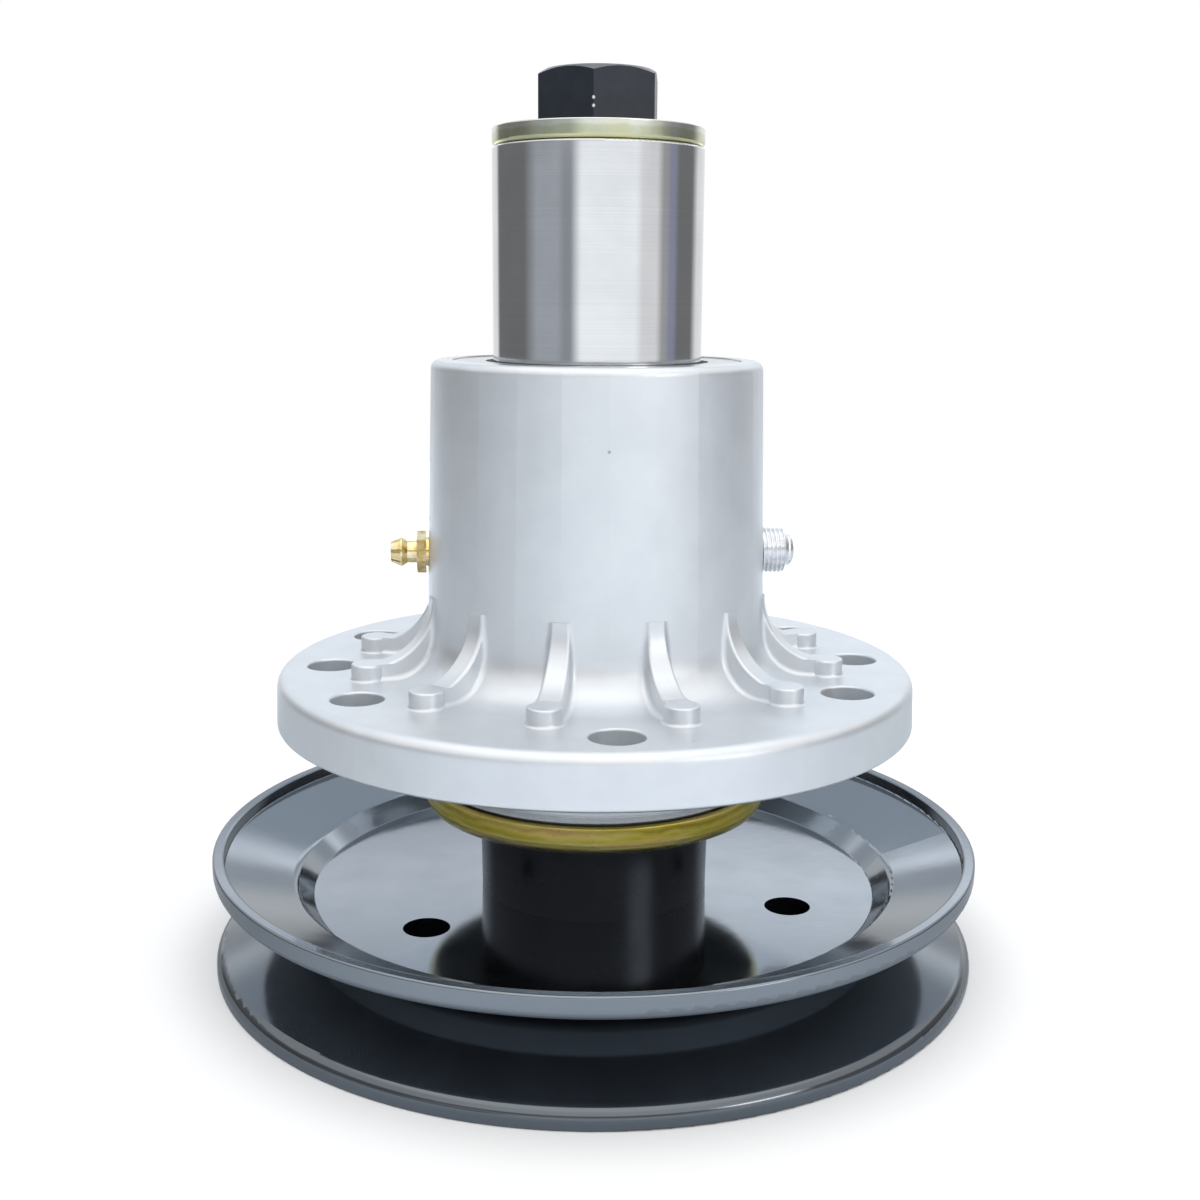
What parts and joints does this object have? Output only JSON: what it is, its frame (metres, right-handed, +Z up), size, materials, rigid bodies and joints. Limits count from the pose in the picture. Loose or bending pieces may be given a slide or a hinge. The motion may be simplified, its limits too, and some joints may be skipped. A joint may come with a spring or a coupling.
{
  "type": "mower deck spindle",
  "caption": "Mower deck spindle stood blade end up: cast flanged housing with ribs, polished blade spacer and bolt above, pressed V-belt pulley below, turning in sealed ball bearings.",
  "frame": {"origin": "centre of the lower pulley rim's edge, on the spindle axis, at the bottom of the part", "axes": "+Z up the spindle axis towards the blade bolt, +X towards the plain port plug and -X towards the grease fitting, -Y towards the one flange hole in front"},
  "size_m": [0.1694, 0.1694, 0.1907],
  "materials": {
    "cast_aluminium": "satin casting",
    "fitting_zinc": "yellow zinc plated",
    "bright_steel": "polished",
    "spring_steel": "phosphated",
    "plug_zinc": "bright zinc plated",
    "seal_steel": "bare",
    "seal_rubber": "matt",
    "ground_steel": "ground",
    "polished_steel": "polished",
    "washer_zinc": "pale yellow zinc plated",
    "black_oxide": "black oxide",
    "yellow_zinc": "yellow zinc plated with faint rainbow tints",
    "black_powder_coat": "gloss",
    "bearing_steel": "polished",
    "cage_nylon": "natural"
  },
  "bodies": {
    "housing": {"spindle_housing": "cast_aluminium", "grease_fitting_body": "fitting_zinc", "grease_fitting_spring": "spring_steel", "port_plug": "plug_zinc", "retaining_ring": "spring_steel", "blade_seal_case": "seal_steel", "blade_seal_lip": "seal_rubber", "lower_bearing_outer_ring": "bearing_steel", "upper_bearing_outer_ring": "bearing_steel", "lower_bearing_shield": "seal_rubber", "upper_bearing_shield": "seal_rubber"},
    "rotor": {"spindle_shaft": "ground_steel", "bearing_spacer": "ground_steel", "blade_spacer": "polished_steel", "blade_washer": "washer_zinc", "blade_bolt": "black_oxide", "dust_cap": "yellow_zinc", "pulley_hub": "black_powder_coat", "pulley_upper_half": "black_powder_coat", "pulley_lower_half": "black_powder_coat", "pulley_key": "ground_steel", "hub_washer": "washer_zinc", "hub_nut": "washer_zinc", "lower_bearing_inner_ring": "bearing_steel", "upper_bearing_inner_ring": "bearing_steel"},
    "lower_cage_set": {"lower_bearing_cage": "cage_nylon", "lower_bearing_balls": "bearing_steel"},
    "upper_cage_set": {"upper_bearing_cage": "cage_nylon", "upper_bearing_balls": "bearing_steel"},
    "check_ball": {"grease_fitting_ball": "bright_steel"}
  },
  "joints": [
    {"name": "spindle_spin", "type": "hinge", "parent": "housing", "child": "rotor", "pos_m": [0, 0, 0.0833], "axis": [0, 0, 1], "continuous": true},
    {"name": "lower_cage_spin", "type": "hinge", "parent": "housing", "child": "lower_cage_set", "pos_m": [0, 0, 0.0515], "axis": [0, 0, 1], "continuous": true},
    {"name": "upper_cage_spin", "type": "hinge", "parent": "housing", "child": "upper_cage_set", "pos_m": [0, 0, 0.115], "axis": [0, 0, 1], "continuous": true},
    {"name": "grease_ball_slide", "type": "slide", "parent": "housing", "child": "check_ball", "axis": [1, 0, 0], "range_m": [0, 0.0012], "stiffness_N_per_m": 200, "springref_m": -0.002, "deforming": ["grease_fitting_spring"]}
  ],
  "couplings": [
    {"joint": "lower_cage_spin", "follows": "spindle_spin", "ratio": 0.39652},
    {"joint": "upper_cage_spin", "follows": "spindle_spin", "ratio": 0.39652}
  ]
}
